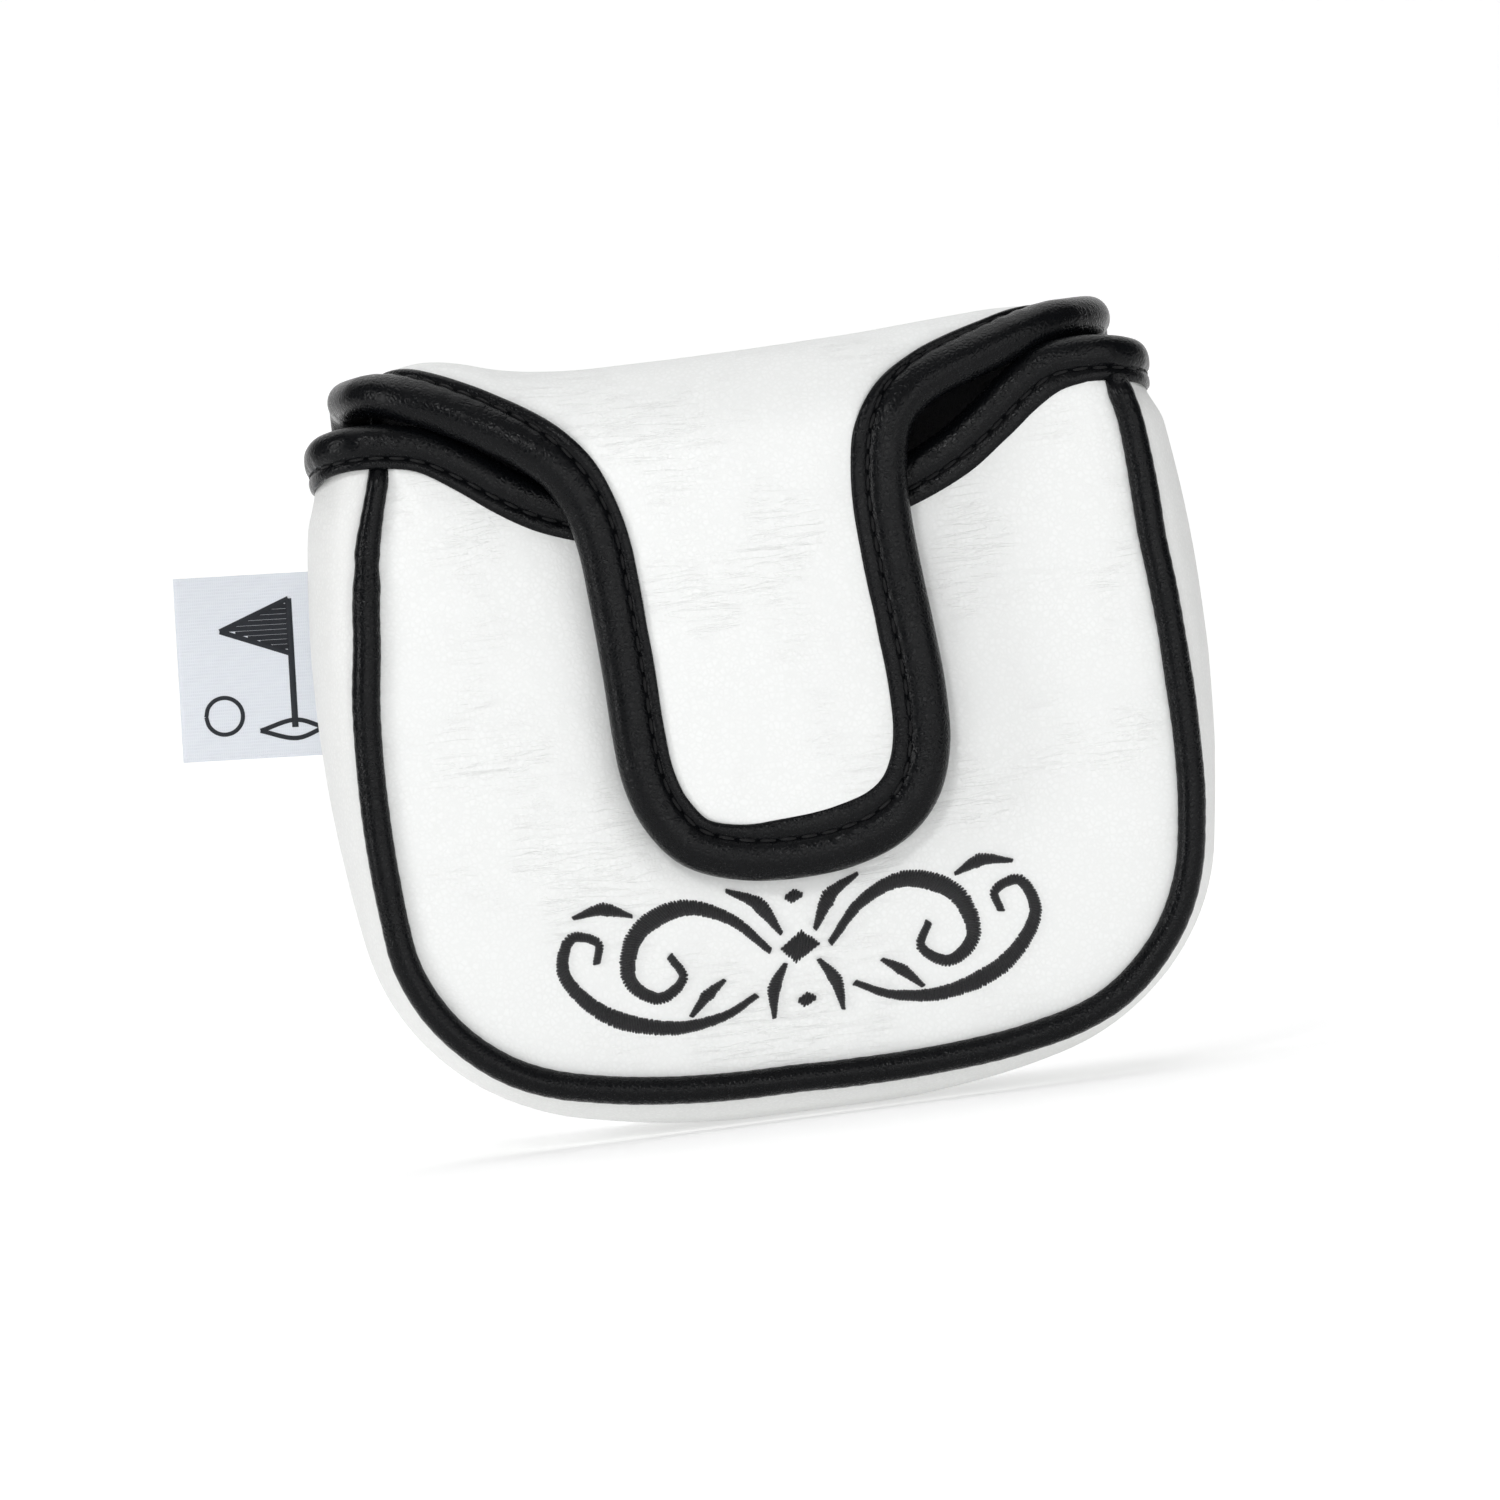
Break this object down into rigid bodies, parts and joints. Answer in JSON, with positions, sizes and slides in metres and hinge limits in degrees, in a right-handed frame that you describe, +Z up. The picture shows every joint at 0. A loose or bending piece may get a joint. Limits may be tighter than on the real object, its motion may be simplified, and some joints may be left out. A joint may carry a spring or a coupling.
{
  "type": "putter head cover",
  "caption": "Padded leather-cloth pouch for a mallet putter head, with a fold-over flap whose magnetic tongue closes on the front wall.",
  "frame": {"origin": "middle of the flat strip under the gusset that the cover stands on, half way between the front and back walls", "axes": "+X to the right seen from the front, +Y towards the back wall, +Z up towards the mouth and the flap; the tongue lies on the -Y side"},
  "size_m": [0.1551, 0.0548, 0.1171],
  "materials": {
    "white_leather_cloth": "satin",
    "gusset_leather_cloth": "satin",
    "black_leather_cloth": "satin",
    "foam_padding": "matte",
    "plush_lining": "matte",
    "piping_cord": "matte",
    "binding_filler": "matte",
    "sewing_thread": "satin",
    "embroidery_thread": "satin",
    "woven_label": "satin",
    "magnet": "polished"
  },
  "bodies": {
    "pouch": {"front_panel": "white_leather_cloth", "front_padding": "foam_padding", "front_lining": "plush_lining", "back_panel": "white_leather_cloth", "back_padding": "foam_padding", "back_lining": "plush_lining", "gusset_band": "gusset_leather_cloth", "gusset_padding": "foam_padding", "gusset_lining": "plush_lining", "front_piping": "black_leather_cloth", "front_piping_cord": "piping_cord", "back_piping": "black_leather_cloth", "back_piping_cord": "piping_cord", "mouth_binding": "black_leather_cloth", "mouth_binding_filler": "binding_filler", "mouth_thread": "sewing_thread", "pouch_magnets": "magnet", "front_embroidery": "embroidery_thread"},
    "flap": {"flap_cover": "white_leather_cloth", "flap_padding": "foam_padding", "flap_lining": "plush_lining", "flap_binding": "black_leather_cloth", "flap_binding_filler": "binding_filler"},
    "tongue": {"tongue_cover": "white_leather_cloth", "tongue_padding": "foam_padding", "tongue_lining": "plush_lining", "tongue_binding": "black_leather_cloth", "tongue_binding_filler": "binding_filler", "tongue_thread": "sewing_thread", "tongue_magnets": "magnet"},
    "label": {"side_label": "woven_label"}
  },
  "joints": [
    {"name": "flap_hinge", "type": "hinge", "parent": "pouch", "child": "flap", "pos_m": [0, 0.023, 0.1052], "axis": [-1, 0, 0], "range_deg": [0, 150]},
    {"name": "tongue_hinge", "type": "hinge", "parent": "flap", "child": "tongue", "pos_m": [0, -0.0305, 0.1003], "axis": [-1, 0, 0], "range_deg": [0, 90]},
    {"name": "label_hinge", "type": "hinge", "parent": "pouch", "child": "label", "pos_m": [-0.0635, 0.0229, 0.078], "axis": [0, 0, -1], "range_deg": [-25, 65]}
  ]
}
